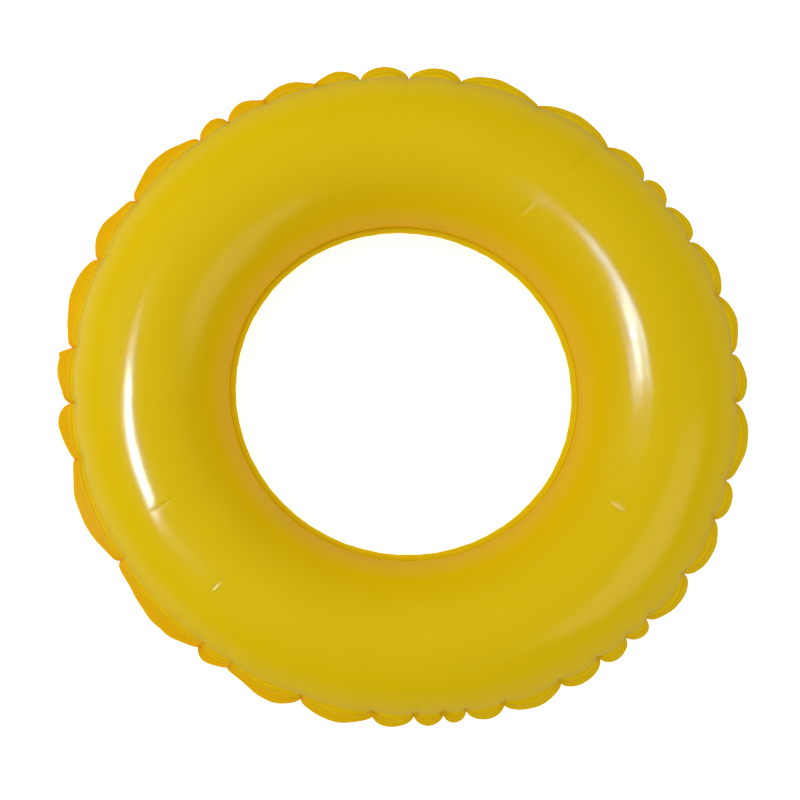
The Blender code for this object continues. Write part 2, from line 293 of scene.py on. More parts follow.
def wrapped(turn):
    """Angles in degrees, from -180 up to 180."""
    return (turn + 180.0) % 360.0 - 180.0


def link(thing):
    bpy.context.scene.collection.objects.link(thing)
    return thing


def grid_mesh(name, points, flip=False, close_rows=False, uv=None):
    """A mesh of quads through points[column, row]; the columns go all the way round."""
    columns, rows = points.shape[:2]
    here = np.arange(columns * rows).reshape(columns, rows)
    right = np.roll(here, -1, axis=0)
    if close_rows:
        up, up_right = np.roll(here, -1, axis=1), np.roll(right, -1, axis=1)
    else:
        here, right, up, up_right = here[:, :-1], right[:, :-1], here[:, 1:], right[:, 1:]
    order = (here, up, up_right, right) if flip else (here, right, up_right, up)
    mesh = bpy.data.meshes.new(name)
    mesh.from_pydata(points.reshape(-1, 3).tolist(), [], np.stack(order, axis=-1).reshape(-1, 4).tolist())
    if uv is not None:
        add_uv(mesh, uv.reshape(-1, 2))
    mesh.shade_smooth()
    return mesh


def add_uv(mesh, point_uv):
    """Gives a mesh a UV map from one pair of numbers for each point."""
    layer = mesh.uv_layers.new(name="Weave")
    corners = np.empty(len(mesh.loops), dtype=np.int64)
    mesh.loops.foreach_get("vertex_index", corners)
    layer.data.foreach_set("uv", point_uv[corners].astype(np.float32).ravel())


def baked(thing, name):
    """The object with its modifiers made part of a plain mesh."""
    bpy.context.view_layer.update()
    graph = bpy.context.evaluated_depsgraph_get()
    mesh = bpy.data.meshes.new_from_object(thing.evaluated_get(graph))
    old = thing.data
    bpy.data.objects.remove(thing, do_unlink=True)
    if isinstance(old, bpy.types.Mesh):
        bpy.data.meshes.remove(old)
    mesh.name = name
    return link(bpy.data.objects.new(name, mesh))


def finished(thing, material, body, slot, *nodes):
    """Gives a finished piece its material and its body, and hides the CAD nodes that it stands for."""
    thing.data.materials.clear()
    thing.data.materials.append(material)
    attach(thing, body)
    if nodes:
        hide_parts(*nodes)
    return thing


# Shader maths


class Value:
    """A node's output, which can be used in sums."""

    def __init__(self, finish, socket):
        self.finish, self.socket = finish, socket

    def maths(self, operation, *values):
        return self.finish.node("Math", dict(enumerate(values)), operation=operation)

    def __add__(self, other):
        return self.maths("ADD", self, other)

    def __mul__(self, other):
        return self.maths("MULTIPLY", self, other)

    def sine(self):
        return self.maths("SINE", self)

    __radd__, __rmul__ = __add__, __mul__


class Finish:
    """A material and the nodes that make it."""

    def __init__(self, name, **shader_values):
        self.material = bpy.data.materials.new(name)
        self.material.use_nodes = True
        self.tree = self.material.node_tree
        self.shader = self.tree.nodes["Principled BSDF"]
        for socket, value in shader_values.items():
            self.shader.inputs[socket.replace("_", " ")].default_value = value

    def node(self, kind, values, output=0, stops=None, **settings):
        """Adds a node: its settings and a ramp's stops come first, and then its sockets' values or links."""
        made = self.tree.nodes.new("ShaderNode" + kind)
        for name, value in settings.items():
            setattr(made, name, value)
        if stops:
            elements = made.color_ramp.elements
            for element, (place, level) in zip(elements, stops):
                element.position, element.color = place, (level, level, level, 1.0)
        for name, value in values.items():
            self.feed(made.inputs[name], value)
        return Value(self, made.outputs[output])

    def feed(self, socket, value):
        if isinstance(value, Value):
            self.tree.links.new(value.socket, socket)
        else:
            socket.default_value = value

    def place(self, scale=(1.0, 1.0, 1.0)):
        """Object coordinates, stretched by a scale for each axis."""
        return self.node("Mapping", {"Vector": self.node("TexCoord", {}, output="Object"), "Scale": scale})

    def attribute(self, name):
        return self.node("Attribute", {}, output="Fac", attribute_name=name, attribute_type="GEOMETRY")

    def noise(self, scale, detail=3.0, at=None):
        given = {"Vector": at or self.place(), "Scale": scale, "Detail": detail}
        return self.node("TexNoise", given, output="Fac")

    def ramp(self, value, *stops):
        return self.node("ValToRGB", {"Fac": value}, stops=stops)

    def mix(self, share, first, second):
        given = {"Factor": share, 6: first, 7: second}
        return self.node("Mix", given, output=2, data_type="RGBA")

    def bump(self, height, strength, distance, under=None):
        given = {"Height": height, "Strength": strength, "Distance": distance}
        if under is not None:
            given["Normal"] = under
        return self.node("Bump", given)

    def colour(self, value):
        self.feed(self.shader.inputs["Base Color"], value)

    def set(self, **values):
        for socket, value in values.items():
            self.feed(self.shader.inputs[socket.replace("_", " ")], value)


# Finishes

FILM_YELLOW = (0.820, 0.560, 0.0010, 1.0)
FILM_PALE = (0.840, 0.580, 0.0015, 1.0)
# Painted shade: the deeper colour that the film is given beside its seams.
FILM_PAINTED_SHADE = (0.780, 0.410, 0.0010, 1.0)
HEM_YELLOW = (0.850, 0.560, 0.0010, 1.0)
# Painted glow of the backlit outer hem on one side of the ring, deeper near the pinches as painted shade in the
# folds.
HEM_PAINTED_GLOW = (1.000, 0.400, 0.0010, 1.0)
# Painted highlight: the bright yellow of the weld line on the outer hem, of the weld beads and of the lit inner
# hem.
HEM_PAINTED_HIGHLIGHT = (1.000, 0.740, 0.0030, 1.0)
VALVE_MILKY = (0.800, 0.780, 0.660, 1.0)
VALVE_WORN = (0.740, 0.700, 0.520, 1.0)
PAPER_DULL = (0.800, 0.800, 0.800, 1.0)
PAPER_CLEAN = (0.820, 0.820, 0.820, 1.0)
PLAIN_WHITE = (1.0, 1.0, 1.0, 1.0)
KNURL_WAVES = 2 * pi / 0.0013
# How far from the root the weld colour reaches; on the outer hem it is a painted highlight along the weld line.
HEM_ROOT_WIDTH = 0.0075


def film_finish():
    """Soft glossy vinyl film: even colour, painted deeper beside the seams as painted shade, a faint calender
    grain and rub marks.
    """
    vinyl = Finish("yellow vinyl film", Specular_IOR_Level=0.13)
    patches = vinyl.noise(scale=7.0, detail=2.0)
    body = vinyl.mix(patches, FILM_YELLOW, FILM_PALE)
    # Painted shade: beside both seams the film's colour goes deeper.
    vinyl.colour(vinyl.mix(vinyl.attribute("seam") * 0.85, body, FILM_PAINTED_SHADE))
    streaks = vinyl.noise(scale=60.0, detail=4.0, at=vinyl.place((1.0, 6.0, 2.0)))
    rubs = vinyl.ramp(streaks, (0.58, 0.0), (0.75, 1.0))
    vinyl.set(Roughness=0.16 + patches * 0.04 + rubs * 0.05)
    peel = vinyl.bump(vinyl.noise(scale=160.0, detail=2.0), strength=0.12, distance=0.0006)
    grain = vinyl.noise(scale=1400.0, detail=2.0)
    vinyl.set(Normal=vinyl.bump(grain, strength=0.05, distance=0.0001, under=peel))
    return vinyl.material


def hem_finish(name, face, weld, painted_side_colour):
    """Two plies of the film fused by a heated, knurled bar: the colours of its face, its weld and one side of the
    ring. On the outer hem the weld colour is a painted highlight and the side colour a painted glow, deeper at
    the pinches as painted shade in the folds; on the inner hem the face colour is a painted highlight.
    """
    hem = Finish(name, Specular_IOR_Level=0.03)
    along = hem.node("SeparateXYZ", {"Vector": hem.node("UVMap", {}, uv_map="Weave")})
    across = Value(hem, along.socket.node.outputs["Y"])
    knurl = (along * KNURL_WAVES).sine() * (across * KNURL_WAVES).sine()
    patches = hem.noise(scale=90.0)
    root = hem.ramp(across * (1 / HEM_ROOT_WIDTH), (0.25, 1.0), (1.0, 0.0))
    plain = hem.mix(patches * 0.5, face, FILM_YELLOW)
    # Painted light: the root share brings in the weld colour, and the fold attribute brings in the side colour on
    # one side of the ring.
    hem.colour(hem.mix(root * 0.7, hem.mix(hem.attribute("fold") * 0.8, plain, painted_side_colour), weld))
    hem.set(Roughness=0.30 + patches * 0.10)
    hem.set(Normal=hem.bump(knurl + hem.noise(scale=700.0) * 0.5, strength=0.25, distance=0.00012))
    return hem.material


def bead_finish():
    """The film squeezed up between the bar's teeth, smooth, its colour made bright as a painted highlight along
    the weld line.
    """
    bead = Finish("weld beads", Specular_IOR_Level=0.6)
    patches = bead.noise(scale=240.0)
    # Painted highlight: the beads take the bright yellow of a lit weld line.
    bead.colour(bead.mix(patches * 0.4, HEM_PAINTED_HIGHLIGHT, FILM_PALE))
    bead.set(Roughness=0.14 + patches * 0.06)
    bead.set(Normal=bead.bump(bead.noise(scale=1800.0), strength=0.1, distance=0.0001))
    return bead.material


def valve_finish():
    """Milky soft vinyl moulding, a little yellowed and dulled where it is handled."""
    valve = Finish("milky valve vinyl", IOR=1.5, Coat_Weight=0.1)
    patches = valve.noise(scale=180.0)
    dust = valve.ramp(valve.noise(scale=600.0, detail=4.0), (0.52, 0.0), (0.72, 1.0))
    valve.colour(valve.mix(patches * 0.5 + dust * 0.25, VALVE_MILKY, VALVE_WORN))
    valve.set(Roughness=0.36 + patches * 0.12)
    valve.set(Normal=valve.bump(valve.noise(scale=2200.0), strength=0.15, distance=0.0001))
    return valve.material


# The film's surface; each draw below gives one number for each lobe, or for the pinch that starts it

SPANS = np.array(LOBE_SPANS, float) * 360.0 / sum(LOBE_SPANS)
STARTS = np.concatenate([[0.0], np.cumsum(SPANS)[:-1]])
LOBES = len(SPANS)
GROWTH = 1.0 - np.exp(-SPANS / LOBE_GROWTH_DEG)
SWAYS = rng.uniform(-1.0, 1.0, LOBES)
LEANS = rng.uniform(-1.0, 1.0, LOBES)
FOLDS = rng.choice((-1.0, 1.0), LOBES) * rng.uniform(0.6, 1.0, LOBES)
TILTS = rng.uniform(-1.0, 1.0, LOBES)
CURLS = rng.uniform(-1.0, 1.0, LOBES)
SKEWS = np.exp(rng.uniform(-HEM_SKEW, HEM_SKEW, LOBES))
DEPTHS = {side: rng.uniform(*GROOVE_DEPTH_SHARES, LOBES) for side in (1, -1)}
REACHES = {side: rng.uniform(*GROOVE_REACH_SHARES, LOBES) for side in (1, -1)}


def located(turn):
    """The lobe, and the share of the way through it, at angles round the ring."""
    past = (turn - FIRST_PINCH_DEG) % 360.0
    lobe = np.clip(np.searchsorted(STARTS, past, side="right") - 1, 0, LOBES - 1)
    return lobe, np.clip((past - STARTS[lobe]) / SPANS[lobe], 0.0, 1.0)


def between(values, lobe, share):
    """Values given at the pinches, run smoothly from each pinch to the next."""
    run = smooth(0.0, 1.0, share)
    return values[lobe] * (1 - run) + values[(lobe + 1) % LOBES] * run


def bow(lobe, share, roundness):
    """The swell of a lobe between its pinches, with the slack kink in the middle of a long one."""
    depth = np.where(SPANS[lobe] > LONG_LOBE_DEG, LONG_LOBE_DENT, 0.0)
    dent = depth * np.exp(-(((share - 0.5) / LONG_LOBE_DENT_SHARE) ** 2))
    return GROWTH[lobe] * (np.clip(np.sin(pi * share), 0.0, 1.0) ** roundness - dent)


def near_pinches(lobe, share):
    """The pinch at each end of the lobe, and how far off it is in radians."""
    for pinch, away in ((lobe, share), ((lobe + 1) % LOBES, 1.0 - share)):
        yield pinch, np.radians(away * SPANS[lobe])


def fullness(turn):
    """How full the seam is: 1 on the full side, falling to 0 across from it."""
    return smooth(*FULL_SIDE_RISE, np.cos(np.radians(turn - FULL_SIDE_DEG)))


def flare(turn, share, lobe):
    """How far the film runs out into the hem."""
    return SEAM_FLARE * rising(SEAM_FLARE_LEAST_SHARE, fullness(turn)) * bow(lobe, share, SEAM_FLARE_ROUNDNESS)


def draw(turn):
    """How far the film's edge is drawn in across from the full side."""
    return SEAM_DRAW * (1.0 - fullness(turn))


def make_waves(side):
    """Slow waves for one film: how many round the ring, how many over the tube, their starts and heights."""
    waves = np.random.default_rng(WAVE_SEED + side)
    return (
        waves.integers(*WAVE_ROUNDS, WAVE_COUNT),
        waves.uniform(*WAVE_RUNS, WAVE_COUNT),
        waves.uniform(0, 2 * pi, WAVE_COUNT),
        waves.normal(0, 1, WAVE_COUNT) / WAVE_COUNT**0.5,
    )


WAVES = {side: make_waves(side) for side in (1, -1)}


def relief(turn, tube, side):
    """How far the film stands out from a plain tube; the tube's angle runs over it from the outer seam."""
    lobe, share = located(turn)
    roundness = LOBE_ROUNDNESS + LOBE_SMOOTHING * np.clip(tube / LOBE_SMOOTHING_DEG, 0.0, 1.0)
    fade = np.exp(-tube / (SEAM_FADE_DEG * (SEAM_FADE_LEAST + SEAM_FADE_PER_DEG * SPANS[lobe])))
    out = SEAM_PINCH * np.exp(-tube / PINCH_FADE_DEG)
    out = out + (SEAM_CREST - SEAM_PINCH) * bow(lobe, share, roundness) * fade
    out = out * rising(SEAM_LEAST_SHARE, fullness(turn))
    out = out + flare(turn, share, lobe) * np.exp(-tube / SEAM_FLARE_DEG)
    out = out - draw(turn) * np.exp(-((tube / SEAM_DRAW_DEG) ** 2))
    reach = RING_RADIUS + TUBE_RADIUS * np.cos(np.radians(tube))
    width = GROOVE_WIDTH * (1 + tube / GROOVE_SPREAD_DEG)
    for pinch, away in near_pinches(lobe, share):
        run = np.exp(-((tube / (GROOVE_REACH_DEG * REACHES[side][pinch])) ** 1.5))
        out = out - GROOVE_DEPTH * DEPTHS[side][pinch] * run * np.exp(-away * reach / width)
    swell = 0.0
    for rounds, runs, start, height in zip(*WAVES[side]):
        swell = swell + height * np.sin(np.radians(rounds * turn) + np.radians(runs * tube) + start)
    if side > 0:
        for about, over, slant, length, width, depth in CREASES:
            along = np.radians(tube - over) * TUBE_RADIUS
            off = np.radians(wrapped(turn - about)) * reach - slant * along
            out = out - depth * np.exp(-((off / width) ** 2) - (2 * along / length) ** 4)
    return out + WAVE_HEIGHT * swell * np.sin(np.radians(tube))


def sway(turn):
    """How far the weld line lies above or below the middle of the tube."""
    return SEAM_SWAY * between(SWAYS, *located(turn))


def on_oval(turn, reach, height):
    """Points of the ring's oval plan; turn is in radians here."""
    return np.stack([reach * np.cos(turn) * OVAL_LONG, reach * np.sin(turn) * OVAL_SHORT, height], axis=-1)


def film_point(turn, tube, side, lift=0.0):
    """A point of the film, lifted off it; side is 1 for the front half and -1 for the rear half."""
    lean = 0.0
    if side > 0:
        lean = GROOVE_LEAN_DEG * between(LEANS, *located(turn)) * smooth(0.0, GROOVE_LEAN_FULL_DEG, tube)
    round_tube = np.radians(tube)
    swell = TUBE_RADIUS + relief(turn, tube, side) + lift
    reach = RING_RADIUS + swell * np.cos(round_tube)
    height = MID_HEIGHT + side * swell * np.sin(round_tube) + sway(turn) * np.exp(-tube / SWAY_FADE_DEG)
    return on_oval(np.radians(turn + lean), reach, np.maximum(height, 0.0))


def stations():
    """Angles round the ring, crowded where the film pinches and where it is creased."""
    turns = []
    for start, span in zip(STARTS, SPANS):
        steps = max(LEAST_STATIONS, round(span / STATION_DEG))
        share = np.arange(steps) / steps
        crowded = 0.5 - 0.5 * np.cos(pi * share)
        turns.append(FIRST_PINCH_DEG + start + span * (share + STATION_CROWDING * (crowded - share)))
    beside = CREASE_STATION_DEG * (np.arange(CREASE_STATIONS) - CREASE_STATIONS / 2)
    for crease in CREASES:
        turns.append((crease[0] + beside) % 360.0)
    every = np.sort((np.concatenate(turns) - FIRST_PINCH_DEG) % 360.0)
    apart = np.diff(every, append=360.0) > STATION_GAP_DEG
    return FIRST_PINCH_DEG + every[apart]


TURNS = stations()


def add_attribute(mesh, name, values):
    """Stores a share on each point of a mesh, for its material to read."""
    mesh.attributes.new(name, "FLOAT", "POINT").data.foreach_set("value", values.astype(np.float32).ravel())


def add_film(name, side, rows):
    """Half of the tube as one thin skin, from the outer seam over to the inner one."""
    tube = 180.0 * (np.arange(rows + 1) / rows) ** ROW_CROWDING
    turn, across = np.meshgrid(TURNS, tube, indexing="ij")
    mesh = grid_mesh(name, film_point(turn, across, side), flip=side < 0)
    # The seam share says where the film's colour is painted deeper, as painted shade.
    inner = np.exp(-(180.0 - across) / INNER_SEAM_PAINTED_SHADE_DEG)
    add_attribute(mesh, "seam", np.maximum(np.exp(-across / SEAM_PAINTED_SHADE_DEG), inner))
    film = link(bpy.data.objects.new(name, mesh))
    wall = film.modifiers.new("Wall", "SOLIDIFY")
    wall.thickness = FILM_THICKNESS
    wall.offset = -1.0
    return film


# The hems


def strip(name, root, way, width, height):
    """A hem as a closed strip: from its root radius outwards (way 1) or inwards (way -1) over its width."""
    face = np.array(HEM_SHARES) * width[:, None]
    half = HEM_THICKNESS / 2 + (WELD_THICKNESS - HEM_THICKNESS) / 2 * np.exp(-face / WELD_WIDTH)
    half[:, -1] *= HEM_EDGE_SHARE
    over = np.concatenate([face, face[:, ::-1]], axis=1)
    rise = np.concatenate([half, -half[:, ::-1]], axis=1)
    reach = root[:, None] + way * over
    turn = np.radians(TURNS)[:, None]
    points = on_oval(turn, reach, height(over) + rise)
    along = np.broadcast_to(turn * OUTER_RADIUS, over.shape)
    return grid_mesh(name, points, flip=way < 0, close_rows=True, uv=np.stack([along, over], axis=-1))


def outer_root():
    """The radius at which the outer hem leaves the film, at each station."""
    return OUTER_RADIUS + relief(TURNS, 0.0 * TURNS, 1)


def hem_width():
    """The outer hem's width: each lobe is fullest a little to one side of its middle."""
    lobe, share = located(TURNS)
    swell = bow(lobe, share ** SKEWS[lobe], HEM_ROUNDNESS - HEM_ROUNDNESS_DROP * fullness(TURNS))
    least = HEM_PINCH_WIDTH * rising(HEM_PINCH_LEAST_SHARE, fullness(TURNS))
    full = least + (HEM_CREST_WIDTH - least) * swell
    corners = np.abs((share * SPANS[lobe] / HEM_JAG_DEG + 3 * TILTS[lobe]) % 1.0 - 0.5) * 2 - 0.5
    jag = HEM_JAG * corners * bow(lobe, share, 1.0)
    spur = SPUR_LENGTH * np.exp(-((wrapped(TURNS - SPUR_DEG) / SPUR_HALF_DEG) ** 2))
    return full + draw(TURNS) - flare(TURNS, share, lobe) + jag + spur


def hem_height(over):
    """The outer hem's level: it droops, each lobe tips and curls its own way, and folds at the pinches."""
    lobe, share = located(TURNS)
    swell = bow(lobe, share, 1.0)
    tip = np.tan(np.radians(HEM_TILT_DEG * TILTS[lobe])) * swell - tan(radians(HEM_DROOP_DEG))
    fold = 0.0
    for pinch, away in near_pinches(lobe, share):
        fold = fold + HEM_FOLD * FOLDS[pinch] * np.exp(-away * OUTER_RADIUS / HEM_FOLD_WIDTH)
    curl = HEM_CURL * (CURLS[lobe] * swell)[:, None] * (over / HEM_CREST_WIDTH) ** 2
    return MID_HEIGHT + sway(TURNS)[:, None] + over * (tip + fold)[:, None] + curl


def add_painted_light_share(mesh, share):
    """Stores on a hem the share of its painted light: its colour changes on one side of the ring and, on the
    outer hem, near the pinches; share is one number for each station.
    """
    add_attribute(mesh, "fold", np.repeat(share, len(mesh.vertices) // len(TURNS)))


def add_outer_hem():
    """The gathered strip round the outside."""
    mesh = strip("outer_hem_weld", outer_root() - WELD_OVERLAP, 1, hem_width(), hem_height)
    lobe, share = located(TURNS)
    off = np.minimum(share, 1.0 - share) * SPANS[lobe]
    # Painted light: away from the full side the hem turns to its painted glow, deeper near the pinches as painted
    # shade in the folds.
    add_painted_light_share(mesh, (1.0 - fullness(TURNS)) * rising(0.5, np.exp(-off / FOLD_PAINTED_SHADE_DEG)))
    return link(bpy.data.objects.new("outer_hem_weld", mesh))


def add_inner_hem():
    """The narrow, taut strip round the hole, bent down on the full side."""
    turn = np.radians(TURNS)
    facing = np.cos(turn - radians(FULL_SIDE_DEG))
    wave = sum(high * np.sin(count * turn + start) for count, high, start in INNER_HEM_LEVEL_WAVES)
    bend = tan(radians(INNER_HEM_BEND_DEG)) * smooth(*INNER_HEM_BEND_RISE, facing)
    uneven = sum(high * np.sin(count * turn + start) for count, high, start in INNER_HEM_WIDTH_WAVES)

    def height(over):
        return MID_HEIGHT + (INNER_HEM_SWAY * wave / INNER_HEM_WIDTH - bend)[:, None] * over

    root = np.full(len(TURNS), INNER_RADIUS + WELD_OVERLAP)
    mesh = strip("inner_hem_weld", root, -1, INNER_HEM_WIDTH * (1.0 + uneven), height)
    # Painted light: the inner hem's painted highlight fades to plain film colour on the full side, where it bends
    # down.
    add_painted_light_share(mesh, smooth(*INNER_HEM_PAINTED_LIGHT_RISE, facing))
    return link(bpy.data.objects.new("inner_hem_weld", mesh))


# Weld beads, set along a line by Geometry Nodes


def bead_tree(material):
    """Small beads along a closed line of edges, long across it; local X lies across, Z along and Y up."""
    tree = bpy.data.node_groups.new("weld beads", "GeometryNodeTree")
    tree.interface.new_socket("Geometry", in_out="INPUT", socket_type="NodeSocketGeometry")
    for name, kind, value in (
        ("Spacing", "NodeSocketFloat", BEAD_SPACING),
        ("Length", "NodeSocketFloat", BEAD_LENGTH),
        ("Width", "NodeSocketFloat", BEAD_WIDTH),
        ("Height", "NodeSocketFloat", BEAD_HEIGHT),
        ("Unevenness", "NodeSocketFloat", BEAD_UNEVENNESS),
        ("Seed", "NodeSocketInt", BEAD_SEED),
    ):
        socket = tree.interface.new_socket(name, in_out="INPUT", socket_type=kind)
        socket.default_value = value
    tree.interface.new_socket("Geometry", in_out="OUTPUT", socket_type="NodeSocketGeometry")
    given = tree.nodes.new("NodeGroupInput").outputs

    def node(kind, values, **settings):
        made = tree.nodes.new(kind)
        for name, value in settings.items():
            setattr(made, name, value)
        for name, value in values.items():
            if isinstance(value, bpy.types.NodeSocket):
                tree.links.new(value, made.inputs[name])
            else:
                made.inputs[name].default_value = value
        return made.outputs

    line = node("GeometryNodeMeshToCurve", {"Mesh": given["Geometry"]})[0]
    upright = node("GeometryNodeSetCurveNormal", {"Curve": line}, mode="Z_UP")[0]
    spots = node("GeometryNodeCurveToPoints", {"Curve": upright, "Length": given["Spacing"]}, mode="LENGTH")
    bead = node("GeometryNodeMeshIcoSphere", {"Radius": 0.5, "Subdivisions": 1})[0]
    low = node("ShaderNodeMath", {0: 1.0, 1: given["Unevenness"]}, operation="SUBTRACT")[0]
    high = node("ShaderNodeMath", {0: 1.0, 1: given["Unevenness"]}, operation="ADD")[0]
    range_given = {"Min": low, "Max": high, "Seed": given["Seed"]}
    uneven = node("FunctionNodeRandomValue", range_given, data_type="FLOAT")
    size = node("ShaderNodeCombineXYZ", {0: given["Length"], 1: given["Height"], 2: given["Width"]})[0]
    factor = next(socket for socket in uneven if socket.type == "VALUE" and socket.enabled)
    scaled = node("ShaderNodeVectorMath", {0: size, "Scale": factor}, operation="SCALE")[0]
    placed = node(
        "GeometryNodeInstanceOnPoints",
        {"Points": spots["Points"], "Instance": bead, "Rotation": spots["Rotation"], "Scale": scaled},
    )[0]
    real = node("GeometryNodeRealizeInstances", {"Geometry": placed})[0]
    shaded = node("GeometryNodeSetShadeSmooth", {"Geometry": real})[0]
    dressed = node("GeometryNodeSetMaterial", {"Geometry": shaded, "Material": material})[0]
    tree.links.new(dressed, tree.nodes.new("NodeGroupOutput").inputs[0])
    return tree


def add_beads(name, tree, line, **sizes):
    """A row of beads along a closed line of points."""
    count = len(line)
    mesh = bpy.data.meshes.new(name)
    mesh.from_pydata(line.tolist(), [(i, (i + 1) % count) for i in range(count)], [])
    thing = link(bpy.data.objects.new(name, mesh))
    rows = thing.modifiers.new("Beads", "NODES")
    rows.node_group = tree
    for socket in tree.interface.items_tree:
        if socket.in_out == "INPUT" and socket.name in sizes:
            rows[socket.identifier] = sizes[socket.name]
    return baked(thing, name)


def bead_line(over, rise):
    """The line on the outer hem at a distance over from its root, raised off its middle."""
    level = hem_height(np.full((len(TURNS), 1), over))[:, 0] + rise
    return on_oval(np.radians(TURNS), outer_root() + over, level)


# The valve

JOINTS = {joint["name"]: joint for joint in frame["joints"]}
VALVE_AXIS = Vector(JOINTS["valve_travel"]["axis"]).normalized()
VALVE_SIDE = Vector(JOINTS["plug_hinge"]["axis"]).normalized()
VALVE_UP = VALVE_SIDE.cross(VALVE_AXIS)
VALVE_SEAT = Vector(JOINTS["plug_hinge"]["pos_m"]) - HINGE_RADIUS * VALVE_UP - HINGE_HEIGHT * VALVE_AXIS
VALVE_FRAME = Matrix.Translation(VALVE_SEAT) @ Matrix((VALVE_UP, VALVE_SIDE, VALVE_AXIS)).transposed().to_4x4()
VALVE_TURNS = 2 * pi * np.arange(VALVE_STEPS) / VALVE_STEPS


def from_valve(points):
    """Points in the valve's frame as points of the object."""
    turn = np.array(VALVE_FRAME.to_3x3())
    return np.asarray(points, float) @ turn.T + np.array(VALVE_SEAT)


def on_film(radius, lift):
    """A ring of points on the film round the valve's axis, lifted off it."""
    reach = RING_RADIUS + TUBE_RADIUS * cos(radians(VALVE_TUBE_DEG))
    along = VALVE_TURN_DEG - np.degrees(radius * np.sin(VALVE_TURNS) / reach)
    down = VALVE_TUBE_DEG - np.degrees(radius * np.cos(VALVE_TURNS) / TUBE_RADIUS)
    return film_point(along, down, -1, lift)


def flat_ring(radius, height):
    """A ring of points round the valve's axis, at one height."""
    level = np.full(VALVE_STEPS, height)
    return from_valve(np.stack([radius * np.cos(VALVE_TURNS), radius * np.sin(VALVE_TURNS), level], axis=-1))


def cleaned(mesh):
    """Merges the points that fall together, as at a pole, and turns all faces outwards."""
    shape = bmesh.new()
    shape.from_mesh(mesh)
    bmesh.ops.remove_doubles(shape, verts=shape.verts, dist=MERGE_DISTANCE)
    bmesh.ops.recalc_face_normals(shape, faces=shape.faces)
    shape.to_mesh(mesh)
    shape.free()
    mesh.shade_smooth()
    return mesh


def capped(mesh):
    """Closes the open ends of a mesh."""
    shape = bmesh.new()
    shape.from_mesh(mesh)
    bmesh.ops.holes_fill(shape, edges=shape.edges)
    shape.to_mesh(mesh)
    shape.free()
    return mesh


def turned(name, section, closed):
    """A section turned about the valve's axis; closed where it is a loop and does not end on the axis."""
    points = np.stack([flat_ring(radius / 1000, height / 1000) for radius, height in section], axis=1)
    return link(bpy.data.objects.new(name, cleaned(grid_mesh(name, points, close_rows=closed))))


def softened(thing, name, width):
    """The object with its sharper edges rounded."""
    round_over = thing.modifiers.new("Round over", "BEVEL")
    round_over.width = width
    round_over.segments = 2
    round_over.limit_method = "ANGLE"
    round_over.angle_limit = radians(25)
    made = baked(thing, name)
    made.data.shade_smooth()
    return made


def cut_valve_hole(film):
    """Opens the rear film for the valve's well."""
    points = np.stack([flat_ring(HOLE_RADIUS, -HOLE_DEPTH / 2), flat_ring(HOLE_RADIUS, HOLE_DEPTH / 2)], axis=1)
    cutter = link(bpy.data.objects.new("hole cutter", cleaned(capped(grid_mesh("hole cutter", points)))))
    cut = film.modifiers.new("Hole", "BOOLEAN")
    cut.operation = "DIFFERENCE"
    cut.object = cutter
    name = film.name
    opened = baked(film, name)
    bpy.data.objects.remove(cutter, do_unlink=True)
    return opened


def add_flange():
    """The disc round the hole, bedded on the curved film."""
    points = np.stack([on_film(radius / 1000, lift / 1000) for radius, lift in FLANGE_SECTION], axis=1)
    mesh = cleaned(grid_mesh("valve_flange_disc", points, close_rows=True))
    return link(bpy.data.objects.new("valve_flange_disc", mesh))


def add_skirt():
    """The soft well that the stem hangs in: it follows the curved flange above and the round stem below."""
    rings = []
    for radius, height, flat in SKIRT_SECTION:
        curved = on_film(radius / 1000, height / 1000)
        rings.append(curved * (1 - flat) + flat_ring(radius / 1000, height / 1000) * flat)
    thing = link(bpy.data.objects.new("skirt", grid_mesh("skirt", np.stack(rings, axis=1))))
    wall = thing.modifiers.new("Wall", "SOLIDIFY")
    wall.thickness = SKIRT_THICKNESS
    wall.offset = -1.0
    return baked(thing, "valve_well_skirt")


def add_stem():
    """The stem with the lug that its strap hangs on."""
    stem = turned("stem", STEM_SECTION, True)
    bpy.ops.mesh.primitive_cube_add(size=1.0)
    lug = bpy.context.object
    lug.data.transform(VALVE_FRAME @ Matrix.Translation(LUG_CENTRE) @ Matrix.Diagonal((*LUG_SIZE, 1.0)))
    lug = softened(lug, "lug", LUG_ROUNDING)
    shape = bmesh.new()
    shape.from_mesh(stem.data)
    shape.from_mesh(lug.data)
    shape.to_mesh(stem.data)
    shape.free()
    bpy.data.objects.remove(lug, do_unlink=True)
    stem.data.shade_smooth()
    stem.name = stem.data.name = "valve_stem_tube"
    return stem


def add_strap():
    """The strap between the plug and the lug, thinned to a waist where it bends."""
    line = np.array(STRAP_LINE) / 1000
    ahead = np.gradient(line, axis=0)
    across = np.stack([-ahead[:, 1], ahead[:, 0]], axis=-1) / np.linalg.norm(ahead, axis=1)[:, None]
    share = np.linspace(0.0, 1.0, len(line))
    pinched = 1.0 - (1.0 - STRAP_WAIST) * np.exp(-(((share - 0.5) / STRAP_WAIST_SHARE) ** 2))
    section = np.array(STRAP_EDGE)
    rings = []
    for (out, up), (out_side, up_side), narrow in zip(line, across, pinched):
        thick = section[:, 1] * STRAP_THICKNESS / 2
        wide = section[:, 0] * STRAP_HALF_WIDTH * narrow
        rings.append(from_valve(np.stack([out + out_side * thick, wide, up + up_side * thick], axis=-1)))
    mesh = cleaned(capped(grid_mesh("plug_strap_ribbon", np.stack(rings, axis=1))))
    return link(bpy.data.objects.new("plug_strap_ribbon", mesh))


def bent(thing, material, slot, node, first, second, start, end):
    """Gives a finished piece that crosses a joint its material, hides the CAD node it stands for and bakes its
    place into its mesh.
    """
    thing.data.materials.clear()
    thing.data.materials.append(material)
    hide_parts(node)
    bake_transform(thing)


# Light, camera and floor


